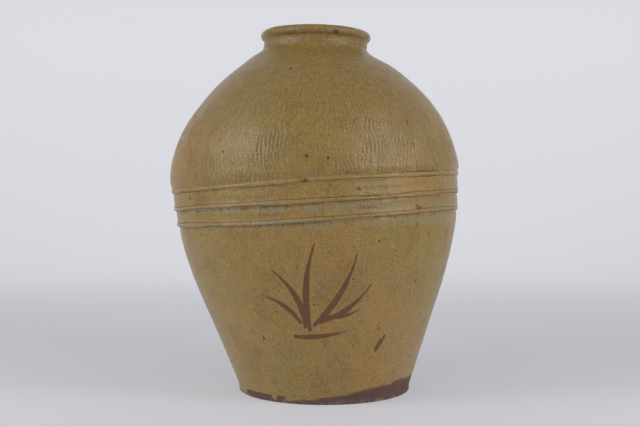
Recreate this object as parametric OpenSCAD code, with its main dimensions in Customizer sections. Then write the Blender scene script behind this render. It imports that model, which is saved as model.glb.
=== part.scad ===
// Coil-built storage jar: every clay member of the jar is its own solid, luted face to face to its neighbours.
// Millimetres, +Z up. The origin is on the floor under the middle of the belly, and the camera side is -Y.

/* [Jar] */
// Height from the floor to the top of the lip
jar_h = 500; // [480:1:540]
// Height of the belly seam, where the lower body meets the shoulder
belly_z = 292.5; // [270:0.5:310]
// Angle that the lower body leans to the left, in degrees
lean = 2.9; // [0:0.1:4]

/* [Lower body] */
// Thickness of the base slab
base_t = 9; // [7:0.5:16]
// Radius of the wall where it stands on the base slab
foot_r = 119.5; // [100:0.5:135]
// Angle of the wall from the vertical where it leaves the base slab
foot_flare = 19.5; // [10:0.5:26]
// Length over which the wall keeps that flare
foot_reach = 91; // [60:1:110]
// Radius of the lower body at the belly seam
waist_r = 198.6; // [185:0.2:205]
// Length over which the lower body stands upright below the belly seam
waist_reach = 100; // [60:1:120]

/* [Shoulder] */
// How far the shoulder stands out over the lower body at the belly seam
shoulder_step = 2.4; // [0:0.1:6]
// Length over which the shoulder stays upright above the belly seam
shoulder_rise = 66; // [45:1:80]
// Radius of the shoulder where it meets the neck
neck_root_r = 86.5; // [80:0.5:100]
// Distance from the top of the lip down to that place
neck_root_drop = 37; // [32:0.5:45]
// Angle of the shoulder from the horizontal where it meets the neck
shoulder_slope = 31.5; // [25:0.5:38]
// Length over which the shoulder keeps that slope
shoulder_reach = 80; // [50:1:95]

/* [Neck and lip] */
// Outer radius of the neck at its narrowest
neck_r = 72.3; // [70:0.1:78]
// Distance from the top of the lip down to the seam under the lip
lip_seam_drop = 18; // [15.5:0.5:21]
// Radius of the mouth inside the lip
mouth_r = 62; // [56:0.5:63]
// How much wider the neck is inside than the mouth
neck_relief = 1.5; // [1:0.1:2.5]
// Outer radius of the rolled lip
lip_r = 77; // [75:0.1:84]
// Height of the rolled lip
lip_h = 13; // [9:0.5:14]
// Angle that the lip tips to the right, in degrees
lip_tip = 1.1; // [0:0.1:2]

/* [Wall] */
// Thickness of the wall at the foot
foot_wall_t = 13; // [9:0.5:16]
// Thickness of the wall at the belly and in the shoulder
wall_t = 10; // [7:0.5:12]
// Length that each course laps over the one below, measured along the inside
lap = 9; // [4:0.5:14]

/* [Base seam] */
// Width of the coil pressed into the corner between the base slab and the wall, on the slab
seam_coil_w = 18; // [10:0.5:24]
// Height of that coil against the wall
seam_coil_h = 14; // [8:0.5:20]
// Width of the worn edge round the underside of the base slab
base_edge = 1.6; // [0.5:0.1:3]

/* [Bands] */
// Height of the middle band at the middle of the jar. The upper band lies right under the belly seam.
band_middle_z = 265; // [255:0.5:272]
// Height of the lower band at the middle of the jar
band_lower_z = 242.5; // [225:0.5:252]
// Width of a band
band_w = 5.6; // [3:0.1:8]
// How far a band stands out from the wall
band_proud = 2.2; // [1:0.1:3]
// How deep a band is keyed into the wall
band_key = 1.5; // [0.8:0.1:3]
// Angle that the belly seam and the bands rise to the right, in degrees
band_rise = 3.7; // [2:0.1:5]

/* [Hidden] */

// Whole circles are drawn with this many sides
$fn = 128;
// Straight steps in each course's outline, and in each round stretch of the neck and lip
course_steps = 7;
round_steps = 8;
// Courses in the lower body and in the shoulder
low_courses = 3;
shoulder_courses = 3;

// Glazed clay, bare fired clay and the browner clay of the bands
glaze_colour = [0.54, 0.44, 0.25];
band_colour = [0.57, 0.46, 0.28];
bare_clay_colour = [0.42, 0.31, 0.26];

// The lower body's axis passes through the middle of the belly seam and meets the floor to its right
low_len = belly_z / cos(lean);
shoulder_r = waist_r + shoulder_step;
// Larger than any radius of the jar, for the solids that cut it
beyond = 2 * shoulder_r;
axis_x_on_slab = (belly_z - base_t) * tan(lean);
// A flared wall that leans is cut off centre by the slab's flat top
slab_x = axis_x_on_slab - foot_r * tan(lean) * tan(foot_flare);
neck_root_z = jar_h - neck_root_drop;
neck_z = jar_h - lip_seam_drop;

// A cubic Bezier curve: its point and its direction at t, from 0 to 1
function bezier(p, t) =
    pow(1 - t, 3) * p[0] + 3 * pow(1 - t, 2) * t * p[1] + 3 * (1 - t) * pow(t, 2) * p[2] + pow(t, 3) * p[3];
function bezier_way(p, t) =
    pow(1 - t, 2) * (p[1] - p[0]) + 2 * (1 - t) * t * (p[2] - p[1]) + pow(t, 2) * (p[3] - p[2]);
function corner_curve(a, corner, b) = [
    for (i = [0:round_steps])
        let (t = i / round_steps) pow(1 - t, 2) * a + 2 * (1 - t) * t * corner + pow(t, 2) * b
];

// Outer curves of the lower body, along its own axis, and of the shoulder: [radius, height] of the four poles
low_curve = [
    [foot_r, base_t],
    [foot_r + foot_reach * sin(foot_flare), base_t + foot_reach * cos(foot_flare)],
    [waist_r, low_len - waist_reach],
    [waist_r, low_len]
];
shoulder_curve = [
    [shoulder_r, belly_z],
    [shoulder_r, belly_z + shoulder_rise],
    [neck_root_r + shoulder_reach * cos(shoulder_slope), neck_root_z - shoulder_reach * sin(shoulder_slope)],
    [neck_root_r, neck_root_z]
];

// The wall thins from the foot to the belly. The shoulder's first course is thicker by what it laps outside.
function low_t(t) = foot_wall_t + (wall_t - foot_wall_t) * t;
function shoulder_t(t) = wall_t + shoulder_step * pow(1 - t, 2);

// The point of the wall's inner face that lies square to the outer curve at t
function inner(p, t, thick) =
    let (way = bezier_way(p, t)) bezier(p, t) + thick * [-way[1], way[0]] / norm(way);

// Outline of one course, from t0 to t1 outside and the lap lower inside, except at the curve's two ends
function lap_at(p, t) = (t <= 0 || t >= 1) ? 0 : lap / norm(p[3] - p[0]);
function low_course_outline(t0, t1) = concat(
    [for (i = [0:course_steps]) bezier(low_curve, t0 + (t1 - t0) * i / course_steps)],
    [
        for (i = [course_steps:-1:0])
            let (
                a = t0 - lap_at(low_curve, t0),
                b = t1 - lap_at(low_curve, t1),
                t = a + (b - a) * i / course_steps
            ) inner(low_curve, t, low_t(t))
    ]
);
function shoulder_course_outline(t0, t1) = concat(
    [for (i = [0:course_steps]) bezier(shoulder_curve, t0 + (t1 - t0) * i / course_steps)],
    [
        for (i = [course_steps:-1:0])
            let (
                a = t0 - lap_at(shoulder_curve, t0),
                b = t1 - lap_at(shoulder_curve, t1),
                t = a + (b - a) * i / course_steps
            ) inner(shoulder_curve, t, shoulder_t(t))
    ]
);

// The lower body's own frame: its axis is upright inside, with height 0 at the floor
module on_low_axis() {
    translate([0, 0, belly_z]) rotate([0, -lean, 0]) translate([0, 0, -low_len]) children();
}

// The belly seam's own frame, with height 0 at the seam, and everything below it as a cutting solid
module on_seam_axis() {
    translate([0, 0, belly_z]) rotate([0, -band_rise, 0]) children();
}
module below_seam() {
    on_seam_axis() translate([0, 0, -beyond]) cylinder(r = beyond, h = beyond);
}

// How far the first outline of the lower body runs on below the slab's top, and the last above the seam
skirt = foot_r * tan(lean) + 2;
seam_rise = waist_r * tan(band_rise - lean) + 2;
module wall_course(i) {
    t0 = i / low_courses;
    t1 = (i + 1) / low_courses;
    course = low_course_outline(t0, t1);
    on_low_axis() rotate_extrude() polygon(course);
}
module foot_course() {
    way = [tan(foot_flare), 1];
    course = low_course_outline(0, 1 / low_courses);
    last = course[len(course) - 1];
    difference() {
        on_low_axis() rotate_extrude() polygon(concat([low_curve[0] - skirt * way], course, [last - skirt * way]));
        translate([0, 0, base_t - beyond]) cylinder(r = beyond, h = beyond);
    }
}

module top_course() {
    course = low_course_outline(1 - 1 / low_courses, 1);
    up = [0, seam_rise];
    difference() {
        on_low_axis() rotate_extrude() polygon(concat(
            [for (i = [0:course_steps]) course[i]],
            [low_curve[3] + up, low_curve[3] + up - [wall_t, 0]],
            [for (i = [course_steps + 1:len(course) - 1]) course[i]]
        ));
        on_seam_axis() cylinder(r = beyond, h = beyond);
        band_groove(band_upper_z, 1);
        band_groove(band_middle_z);
        band_groove(band_lower_z);
    }
}
module wall_course_1() {
    color(glaze_colour) foot_course();
}
module wall_course_2() {
    color(glaze_colour) wall_course(1);
}
module wall_course_3() {
    color(glaze_colour) top_course();
}

// The slab that the jar is built up on, with its lower edge worn round
module base_slab() {
    color(bare_clay_colour) translate([slab_x, 0, 0]) rotate_extrude() polygon([
        [0, 0],
        [foot_r - base_edge, 0],
        [foot_r, base_edge],
        [foot_r, base_t],
        [0, base_t]
    ]);
}

// The coil that seals the inside corner between the slab and the wall
module base_seam_coil() {
    corner_r = foot_r - foot_wall_t;
    hidden = foot_wall_t / 2;
    color(glaze_colour) difference() {
        translate([slab_x, 0, 0]) rotate_extrude() polygon(concat(
            corner_curve(
                [corner_r - seam_coil_w, base_t],
                [corner_r - seam_coil_w / 4, base_t + seam_coil_h / 4],
                [corner_r + seam_coil_h * tan(foot_flare), base_t + seam_coil_h]
            ),
            [[corner_r + hidden, base_t + seam_coil_h], [corner_r + hidden, base_t]]
        ));
        foot_course();
    }
}

// The shoulder stands upright. Its first course is cut to the slanting belly seam.
seam_drop = shoulder_r * tan(band_rise) + 1;
module shoulder_course_1() {
    course = shoulder_course_outline(0, 1 / shoulder_courses);
    down = [0, -seam_drop];
    color(glaze_colour) difference() {
        rotate_extrude() polygon(concat([shoulder_curve[0] + down], course, [course[len(course) - 1] + down]));
        below_seam();
    }
}
module shoulder_course(i) {
    rotate_extrude() polygon(shoulder_course_outline(i / shoulder_courses, (i + 1) / shoulder_courses));
}
module shoulder_course_2() {
    color(glaze_colour) shoulder_course(1);
}
module shoulder_course_3() {
    color(glaze_colour) shoulder_course(2);
}

// The lip's own frame, tipped to the right, with height 0 at the seam under the lip
module on_lip_axis() {
    translate([0, 0, neck_z]) rotate([0, lip_tip, 0]) children();
}

// The neck curves up out of the shoulder and is cut to the seam under the lip
module neck_ring() {
    tip_rise = neck_r * tan(lip_tip) + 1;
    neck_in_r = mouth_r + neck_relief;
    root = shoulder_curve[3];
    root_in = inner(shoulder_curve, 1, shoulder_t(1));
    rise = tan(shoulder_slope);
    color(glaze_colour) difference() {
        rotate_extrude() polygon(concat(
            corner_curve(
                root,
                [neck_r, neck_root_z + (neck_root_r - neck_r) * rise],
                [neck_r, (neck_z + neck_root_z + (neck_root_r - neck_r) * rise) / 2]
            ),
            [[neck_r, neck_z + tip_rise], [neck_in_r, neck_z + tip_rise]],
            corner_curve(
                [neck_in_r, (neck_z + root_in[1]) / 2 + 2],
                [neck_in_r, root_in[1] + (root_in[0] - neck_in_r) * rise],
                root_in
            )
        ));
        on_lip_axis() cylinder(r = beyond, h = beyond);
    }
}

// The lip: a coil rolled outward over the neck, with the straight mouth inside it
module lip_roll() {
    roll_a = (lip_r - mouth_r) / 2;
    roll_b = lip_h / 2;
    // The tipped lip's highest point is the jar's height
    roll_z = lip_seam_drop - roll_b - (mouth_r + roll_a) * sin(lip_tip);
    roll = [
        for (i = [0:2 * round_steps])
            let (a = 180 - 240 * i / (2 * round_steps))
            [mouth_r + roll_a + roll_a * cos(a), roll_z + roll_b * sin(a)]
    ];
    under = roll[len(roll) - 1];
    color(glaze_colour) on_lip_axis() rotate_extrude() polygon(concat(
        [[mouth_r, 0]],
        roll,
        [[neck_r, max(0.5, under[1] - (under[0] - neck_r) * 2)], [neck_r, 0]]
    ));
}

// A band: a clay cord keyed into a scored groove round the wall. The upper one lies under the shoulder's edge.
low_radii = [for (i = [0:40]) let (c = bezier(low_curve, i / 40)) [c[1], c[0]]];
function wall_r(z) = lookup(z / cos(lean), low_radii);
band_upper_z = belly_z - band_w / 2 / (cos(band_rise) + sin(band_rise) * tan(lean));
module at_band(z) {
    translate([(belly_z - z) * tan(lean), 0, z]) rotate([0, -band_rise, 0]) children();
}
module band_groove(z, above = 0) {
    key_r = wall_r(z) - band_key;
    far_r = wall_r(z) + wall_t;
    top = band_w / 2 + above;
    at_band(z) rotate_extrude() polygon([[key_r, -band_w / 2], [far_r, -band_w / 2], [far_r, top], [key_r, top]]);
}
module band(z) {
    key_r = wall_r(z) - band_key;
    // The band's edges stand this far out, so that they clear the wall where the two axes part
    edge_r = wall_r(z) + band_proud / 4;
    full_r = wall_r(z) + band_proud;
    color(band_colour) at_band(z) rotate_extrude() polygon(concat(
        [[key_r, band_w / 2]],
        corner_curve([edge_r, band_w / 2], [full_r, band_w / 2], [full_r, -band_w * 0.1]),
        [[full_r - band_proud * 0.15, -band_w * 0.3], [edge_r, -band_w / 2], [key_r, -band_w / 2]]
    ));
}
module band_upper() {
    band(band_upper_z);
}
module band_middle() {
    band(band_middle_z);
}
module band_lower() {
    band(band_lower_z);
}

base_slab();
base_seam_coil();
wall_course_1();
wall_course_2();
wall_course_3();
shoulder_course_1();
shoulder_course_2();
shoulder_course_3();
neck_ring();
lip_roll();
band_upper();
band_middle();
band_lower();
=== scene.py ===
# %% [markdown]
# # An onggi jar
# This lesson dresses a coil-built storage jar. The frame holds the jar's clay members as plain solids: a base
# slab, a coil that seals its corner, three wall courses, three shoulder courses, a neck, a rolled lip and three
# bands. Each of them is modelled again here as turned clay with the marks of the potter's tools, and each takes
# the place of its solid. Nothing on a fired jar moves, so every piece rides on the one body.

# %% Load the jar's frame
import math
import bmesh
import bpy
import numpy as np
from mathutils import Matrix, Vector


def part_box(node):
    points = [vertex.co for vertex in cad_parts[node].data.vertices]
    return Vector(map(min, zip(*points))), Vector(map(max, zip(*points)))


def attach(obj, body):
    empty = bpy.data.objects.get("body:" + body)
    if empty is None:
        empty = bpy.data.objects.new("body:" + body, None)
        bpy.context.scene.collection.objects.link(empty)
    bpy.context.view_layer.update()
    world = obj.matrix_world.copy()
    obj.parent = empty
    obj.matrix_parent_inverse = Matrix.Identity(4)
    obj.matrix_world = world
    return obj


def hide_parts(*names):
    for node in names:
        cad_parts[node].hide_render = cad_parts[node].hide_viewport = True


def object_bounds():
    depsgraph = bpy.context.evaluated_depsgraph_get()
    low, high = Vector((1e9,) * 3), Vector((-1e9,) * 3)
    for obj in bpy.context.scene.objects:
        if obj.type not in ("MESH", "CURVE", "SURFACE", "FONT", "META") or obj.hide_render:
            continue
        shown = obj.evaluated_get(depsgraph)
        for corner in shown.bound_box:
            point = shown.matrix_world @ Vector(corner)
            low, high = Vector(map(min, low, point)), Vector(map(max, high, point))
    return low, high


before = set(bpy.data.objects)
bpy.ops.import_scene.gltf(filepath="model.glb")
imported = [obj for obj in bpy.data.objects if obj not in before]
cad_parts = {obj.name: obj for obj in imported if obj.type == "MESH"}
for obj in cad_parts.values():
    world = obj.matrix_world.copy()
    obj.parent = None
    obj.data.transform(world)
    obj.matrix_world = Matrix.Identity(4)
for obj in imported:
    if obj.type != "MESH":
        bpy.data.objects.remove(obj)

MM = 0.001
cad_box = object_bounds()
print("CAD box, lowest and highest corner:", [round(v, 4) for corner in cad_box for v in corner])

# %% [markdown]
# ## The jar's sizes
# A jar is a surface turned about an axis, so a few radii and heights give all of it. The lower body was thrown
# on an axis that leans a little to the left. The shoulder was added upright, and its joint with the lower body,
# the belly seam, slants up to the right, and the bands with it. The foot, the lip and the floor are read from
# the frame, and the rest are the jar's own driving sizes.

# %% Set the driving sizes
belly_z = 292.5 * MM
lean = math.radians(2.9)
band_rise = math.radians(3.7)
lip_tip = math.radians(1.1)
foot_flare = math.radians(19.5)
foot_reach = 91 * MM
waist_r = 198.6 * MM
waist_reach = 100 * MM
shoulder_step = 2.4 * MM
shoulder_rise = 66 * MM
neck_root_r = 86.5 * MM
neck_root_drop = 37 * MM
shoulder_slope = math.radians(31.5)
shoulder_reach = 80 * MM
neck_r = 72.3 * MM
lip_seam_drop = 18 * MM
mouth_r = 62 * MM
neck_step = 1.5 * MM
lip_r = 77 * MM
lip_h = 13 * MM
foot_wall = 13 * MM
wall = 10 * MM
lap = 9 * MM
band_w = 5.6 * MM
band_proud = 2.2 * MM
band_key = 1.5 * MM
band_drops = {"band_upper": band_w / 2, "band_middle": 27.5 * MM, "band_lower": 50 * MM}

slab_low, slab_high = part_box("base_slab")
slab_x = (slab_low.x + slab_high.x) / 2
foot_r = (slab_high.x - slab_low.x) / 2
base_t = slab_high.z - slab_low.z
jar_top = cad_box[1].z
low_len = belly_z / math.cos(lean)
shoulder_r = waist_r + shoulder_step
neck_root_z = jar_top - neck_root_drop
neck_z = jar_top - lip_seam_drop
print("foot radius, slab thickness and jar height in mm:", [round(v / MM, 1) for v in (foot_r, base_t, jar_top)])

# %% [markdown]
# Three axes carry the whole jar. A piece is turned about the plain upright axis, and then its mesh is moved
# onto its own axis, so that its object stays at the origin, unturned.

# %% Set the three axes
UPRIGHT = Matrix.Identity(4)
LOW_AXIS = (
    Matrix.Translation((0, 0, belly_z)) @ Matrix.Rotation(-lean, 4, "Y") @ Matrix.Translation((0, 0, -low_len))
)
LIP_AXIS = Matrix.Translation((0, 0, neck_z)) @ Matrix.Rotation(lip_tip, 4, "Y")
SLAB_AXIS = Matrix.Translation((slab_x, 0, 0))

# %% [markdown]
# ## Curves of the wall
# Two smooth curves draw the whole outer wall, one for the lower body and one for the shoulder. A cubic Bezier
# curve suits a pot: its end poles set where the wall starts and ends, and the poles between set how steeply it
# leaves. The inner face lies square to the outer one, at the wall's thickness.

# %% Draw the wall curves
LOW_CURVE = np.array([
    (foot_r, base_t),
    (foot_r + foot_reach * math.sin(foot_flare), base_t + foot_reach * math.cos(foot_flare)),
    (waist_r, low_len - waist_reach),
    (waist_r, low_len),
])
SHOULDER_CURVE = np.array([
    (shoulder_r, belly_z),
    (shoulder_r, belly_z + shoulder_rise),
    (neck_root_r + shoulder_reach * math.cos(shoulder_slope), neck_root_z - shoulder_reach * math.sin(shoulder_slope)),
    (neck_root_r, neck_root_z),
])


def bezier(poles, t):
    """The curve's radius and height at t, from 0 to 1."""
    t = np.asarray(t, float)[..., None]
    s = 1 - t
    return s**3 * poles[0] + 3 * s * s * t * poles[1] + 3 * s * t * t * poles[2] + t**3 * poles[3]


def inner_face(poles, t, thick):
    """The point of the wall's inner face square to the outer curve at t."""
    t = np.asarray(t, float)[..., None]
    s = 1 - t
    way = s * s * (poles[1] - poles[0]) + 2 * s * t * (poles[2] - poles[1]) + t * t * (poles[3] - poles[2])
    way /= np.linalg.norm(way, axis=-1, keepdims=True)
    across = np.stack([-way[..., 1], way[..., 0]], axis=-1)
    return bezier(poles, t[..., 0]) + np.asarray(thick)[..., None] * across


def low_thick(t):
    return foot_wall + (wall - foot_wall) * t


def shoulder_thick(t):
    return wall + shoulder_step * (1 - t) ** 2


def radius_on(poles, height):
    """The outer curve's radius at a height, straight up and down past its ends."""
    points = bezier(poles, np.linspace(0, 1, 200))
    return np.interp(height, points[:, 1], points[:, 0])


print("radius at the middle of the lower body in mm:", round(float(radius_on(LOW_CURVE, belly_z / 2)) / MM, 1))

# %% [markdown]
# ## Turning a clay member
# A wheel makes a pot by turning one outline, and bmesh.ops.spin does the same. A full turn of 1440 fine steps
# is slow to spin, so the turn is spun in 120 steps and subdivide_edges cuts every ring finer afterwards. Each
# point of the outline carries its skin along as a vertex layer: 1 on the outside, -1 on the inside and 0 where
# it is hidden in a joint. The ring number tells which edges run round the pot.

# %% Turn an outline into a ring of clay
OUTSIDE, HIDDEN, INSIDE = 1, 0, -1
COARSE_STEPS = 120
SHARP_CORNER = math.radians(38)


def outward(outline):
    """The direction out of the clay at each point of an outline, from its neighbours with the same skin."""
    ways = []
    count = len(outline)
    for i, (radius, height, skin) in enumerate(outline):
        before = outline[i - 1]
        after = outline[(i + 1) % count]
        if before[2] != skin:
            before = outline[i]
        if after[2] != skin:
            after = outline[i]
        if before is after:
            before = outline[i - 1]
            after = outline[(i + 1) % count]
        across = (after[1] - before[1], before[0] - after[0])
        size = math.hypot(*across) or 1
        ways.append((across[0] / size, across[1] / size))
    return ways


def corner_angle(outline, i):
    """How far the outline turns at point i."""
    a = outline[i - 1]
    b = outline[i]
    c = outline[(i + 1) % len(outline)]
    first = math.atan2(b[1] - a[1], b[0] - a[0])
    second = math.atan2(c[1] - b[1], c[0] - b[0])
    return abs((second - first + math.pi) % (2 * math.pi) - math.pi)


def turn(outline, cuts):
    """Spin an outline of (radius, height, skin) a full turn and return its bmesh."""
    bm = bmesh.new()
    ring = bm.verts.layers.int.new("ring")
    layers = [bm.verts.layers.float.new(key) for key in ("radius", "height", "skin", "out", "up")]
    verts = []
    for i, (point, way) in enumerate(zip(outline, outward(outline))):
        vert = bm.verts.new((0, -point[0], point[1]))
        vert[ring] = i
        for layer, value in zip(layers, (*point, *way)):
            vert[layer] = value
        verts.append(vert)
    on_axis = outline[0][0] == 0
    loop = list(zip(verts, verts[1:])) if on_axis else list(zip(verts, verts[1:] + verts[:1]))
    edges = [bm.edges.new(pair) for pair in loop]
    bmesh.ops.spin(
        bm, geom=verts + edges, cent=(0, 0, 0), axis=(0, 0, 1), dvec=(0, 0, 0), angle=2 * math.pi,
        steps=COARSE_STEPS, use_merge=True, use_normal_flip=False, use_duplicate=False,
    )
    if on_axis:
        bmesh.ops.remove_doubles(bm, verts=bm.verts, dist=0.01 * MM)
    rings = [edge for edge in bm.edges if edge.verts[0][ring] == edge.verts[1][ring]]
    sharp = {i for i in range(len(outline)) if corner_angle(outline, i) > SHARP_CORNER}
    for edge in rings:
        edge.smooth = edge.verts[0][ring] not in sharp
    bmesh.ops.subdivide_edges(bm, edges=rings, cuts=cuts, use_grid_fill=True)
    bmesh.ops.recalc_face_normals(bm, faces=bm.faces)
    for face in bm.faces:
        face.smooth = True
    return bm


# %% [markdown]
# The cut rings are still chords, so each point is put back on its true circle by its own radius. At the same
# step the potter's marks go in: a relief function says how far the clay stands out at each place, measured
# along the direction out of the clay, and a slide function moves rows of points along the wall.

# %% Shape the turned clay and make it a piece
def read_layer(mesh, key):
    values = np.empty(len(mesh.vertices), np.float32)
    mesh.attributes[key].data.foreach_get("value", values)
    return values.astype(float)


def make_piece(name, outline, axis, cuts, relief=None, slide=None, marks=None):
    """Turn an outline, shape it and replace the CAD node of that name with it."""
    bm = turn(outline, cuts)
    mesh = bpy.data.meshes.new(name + "_clay")
    bm.to_mesh(mesh)
    bm.free()
    flat = np.empty(len(mesh.vertices) * 3, np.float32)
    mesh.vertices.foreach_get("co", flat)
    x, y, _ = flat.reshape(-1, 3).astype(float).T
    angle = np.arctan2(x, -y)
    radius, height, skin, out, up = [read_layer(mesh, key) for key in ("radius", "height", "skin", "out", "up")]
    if slide:
        radius, height = slide(angle, radius, height)
    place = to_jar(axis, angle, radius, height)
    if relief:
        rise = relief(angle, radius, height, skin, place)
        radius = radius + rise * out
        height = height + rise * up
        place = to_jar(axis, angle, radius, height)
    mesh.vertices.foreach_set("co", place.astype(np.float32).ravel())
    for key in ("ring", "radius", "height", "skin", "out", "up"):
        mesh.attributes.remove(mesh.attributes[key])
    for key, values in (marks(angle, radius, height, skin, place) if marks else {}).items():
        layer = mesh.attributes.new(key, "FLOAT", "POINT")
        layer.data.foreach_set("value", np.asarray(values, np.float32))
    mesh.update()
    piece = bpy.data.objects.new(name + "_clay", mesh)
    bpy.context.scene.collection.objects.link(piece)
    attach(piece, "root")
    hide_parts(name)
    print(name, "has", len(mesh.vertices), "points and", len(mesh.polygons), "faces")
    return piece


def to_jar(axis, angle, radius, height):
    """Points of an axis, by angle from the front, radius and height, in the jar's frame."""
    local = np.stack([radius * np.sin(angle), -radius * np.cos(angle), height], axis=1)
    turned = np.array(axis)
    return local @ turned[:3, :3].T + turned[:3, 3]


# %% [markdown]
# ## Unevenness
# Hand-built clay is never quite true. A smooth noise that is fixed in the jar's own space gives all members the
# same waves, so that two of them still meet along their joint. It mixes random values at the corners of a
# lattice of cells, and the seed keeps it the same in every run.

# %% Make a smooth noise
LATTICE = np.random.default_rng(11).uniform(-1, 1, (24, 24, 24))


def soft_noise(place, cell, shift=0.0):
    """Smooth noise from -1 to 1 over cells of a given size, one size or one for each axis."""
    grid = place / np.asarray(cell) + shift
    corner = np.floor(grid).astype(int)
    part = grid - corner
    part = part * part * (3 - 2 * part)
    total = np.zeros(len(place))
    for step in np.ndindex(2, 2, 2):
        weight = np.prod(np.where(step, part, 1 - part), axis=1)
        i, j, k = ((corner + step) % 24).T
        total += weight * LATTICE[i, j, k]
    return total


def ramp(value, low, high):
    """0 below low, 1 above high and a smooth step between."""
    t = np.clip((value - low) / (high - low), 0, 1)
    return t * t * (3 - 2 * t)


def bump(value, middle, width):
    """A smooth hill, 1 at the middle and near 0 a width away."""
    return np.exp(-(((value - middle) / (width / 2)) ** 2))


def seam_height(place):
    """Height above the slanting belly seam."""
    return place[:, 2] - belly_z - place[:, 0] * math.tan(band_rise)


# %% [markdown]
# ## Marks of hands and tools
# The lower body was smoothed with a wet cloth, which leaves shallow ripples. Fingers wiped the wet glaze away in
# a few strokes and left the brown clay bare between two small ridges. The strokes here are a plain spray of grass
# blades. Each stroke is a short arc on the wall, and the distance to the nearest stroke, less the finger's
# half-width, goes both into the relief and into a vertex attribute. A distance blends between points without
# steps, so the material can draw a crisp edge from it on a mesh of 2 mm.

# %% Lay out the wiped strokes
# Each stroke: azimuth and height of its foot, azimuth and height of its tip, sideways bow, and width
GRASS = [
    (-8.0, 108, -19.0, 181, -9.0, 7.5),
    (-6.0, 104, -1.5, 212, 6.5, 8.5),
    (-3.5, 110, 14.5, 196, -9.0, 8.0),
    (-1.0, 113, 21.5, 158, -8.0, 7.0),
    (-10.0, 114, -25.5, 150, -5.5, 6.5),
    (1.5, 120, 17.0, 126, -4.0, 5.5),
    (-13.5, 95, 11.5, 99, -3.0, 6.5),
]
THUMB_WIPE = (28.0, 70, 32.8, 88, 0.5, 8.0)


def stroke_gap(angle, height, stroke):
    """Distance in metres from the edge of one stroke, negative inside it."""
    foot_a, foot_z, tip_a, tip_z, bow, width = stroke
    around = float(radius_on(LOW_CURVE, (foot_z + tip_z) / 2 * MM))
    foot = np.array([math.radians(foot_a) * around, foot_z * MM])
    tip = np.array([math.radians(tip_a) * around, tip_z * MM])
    along = (tip - foot) / np.linalg.norm(tip - foot)
    across = np.array([-along[1], along[0]])
    length = np.linalg.norm(tip - foot)
    x = angle * around - foot[0]
    z = height - foot[1]
    run = (x * along[0] + z * along[1]) / length
    held = np.clip(run, 0, 1)
    side = x * across[0] + z * across[1] - bow * MM * 4 * held * (1 - held)
    past = (run - held) * length
    taper = 0.72 + 0.28 * ramp(held, 0, 0.3) - 0.7 * ramp(held, 0.4, 1.0)
    return np.hypot(side, past) - width / 2 * MM * taper


def wipe_gap(angle, height):
    """Distance from the nearest wiped stroke."""
    gaps = [stroke_gap(angle, height, stroke) for stroke in GRASS + [THUMB_WIPE]]
    return np.min(gaps, axis=0)


# %% [markdown]
# The glaze stops short of the floor. Along the front it runs down over the slab, and to the right it stops
# higher, so the bare clay shows there as a brown wedge. The edge is a height that changes round the foot.

# %% Draw the edge of the glaze above the foot
# Azimuths in degrees round the foot, and the height of the glaze's edge there in mm
EDGE_AT = [-180, -120, -60, -20, -4, 9, 21, 35, 43, 51, 65, 100, 140, 180]
EDGE_HEIGHT = [6, 3, 2.5, 4, 8, 11, 17, 21, 20, 25, 23, 29, 15, 6]


def glaze_edge(angle, place):
    """Height above the edge of the glaze, negative on bare clay."""
    edge = np.interp(np.degrees(angle), EDGE_AT, EDGE_HEIGHT) * MM
    edge += 1.4 * MM * soft_noise(place, 13 * MM) + 0.8 * MM * soft_noise(place, 4 * MM, 7)
    return place[:, 2] - edge


# %% [markdown]
# The kiln and long use leave spots: brown ones where iron boiled through, red ones where ash burned off, and a
# row of small scars round the shoulder where the fire's props touched it. The spots on the side that the photo
# shows have measured places. The far side has as many, scattered by a seeded draw.

# %% Scatter the spots
# Each spot: azimuth in degrees, height, width and height of the spot in mm
BROWN_SPOTS = [
    (-2.7, 300.5, 22, 7), (-4, 288.7, 19, 6), (72, 272, 6, 12), (-85, 300, 12, 36), (-76, 215, 14, 10),
    (40.5, 257, 16, 8), (15.5, 278.6, 12, 7), (39.1, 363, 3, 15), (39.5, 335.5, 3, 15), (21.6, 67.7, 3, 4),
    (57.3, 58, 5, 12), (-12.3, 70.5, 4, 5), (-51.8, 104.5, 4, 5), (-56.3, 151.8, 4, 5), (-3, 318, 13, 8),
]
RED_SPOTS = [
    (19.6, 256, 32, 7), (23, 270, 50, 4), (13.6, 298.5, 24, 5), (21.4, 245, 28, 5), (41.7, 247.4, 20, 5),
    (48.6, 222.6, 10, 12),
]
SCARS = [
    (-27.5, 433.5, 11, 5), (-14.1, 433, 6, 5), (-2.4, 432.5, 7, 4), (6.6, 429.6, 6, 4), (13.7, 436, 10, 4),
    (39.6, 437, 8, 5), (50.5, 436.4, 5, 4), (66, 434, 7, 5), (-46, 432, 6, 5), (-68, 435, 9, 4),
]
scatter = np.random.default_rng(5)
for _ in range(9):
    BROWN_SPOTS.append((scatter.uniform(95, 262), scatter.uniform(60, 345), scatter.uniform(4, 20), 7))
    RED_SPOTS.append((scatter.uniform(95, 262), scatter.uniform(215, 300), scatter.uniform(8, 36), 5))
    SCARS.append((scatter.uniform(85, 275), scatter.uniform(430, 437), scatter.uniform(5, 10), 4.5))


def spots(angle, place, rows):
    """1 in the middle of each spot, falling to 0 away from it."""
    around = np.hypot(place[:, 0], place[:, 1])
    total = np.zeros(len(angle))
    for azimuth, height, wide, tall in rows:
        turned = (angle - math.radians(azimuth) + math.pi) % (2 * math.pi) - math.pi
        spot = bump(turned * around, 0, wide * MM) * bump(place[:, 2], height * MM, tall * MM)
        total = np.maximum(total, spot)
    return total


# %% [markdown]
# Relief of the lower body, outside and in: slow waves, the cloth's ripples, the wiped strokes with their ridges,
# the thickness of the glaze at its edge, and the wall's shape between the bands. A finger drew the clay up
# against each band from above and hollowed it below. Inside, the throwing rings are deeper because nobody
# smoothed them.

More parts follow.
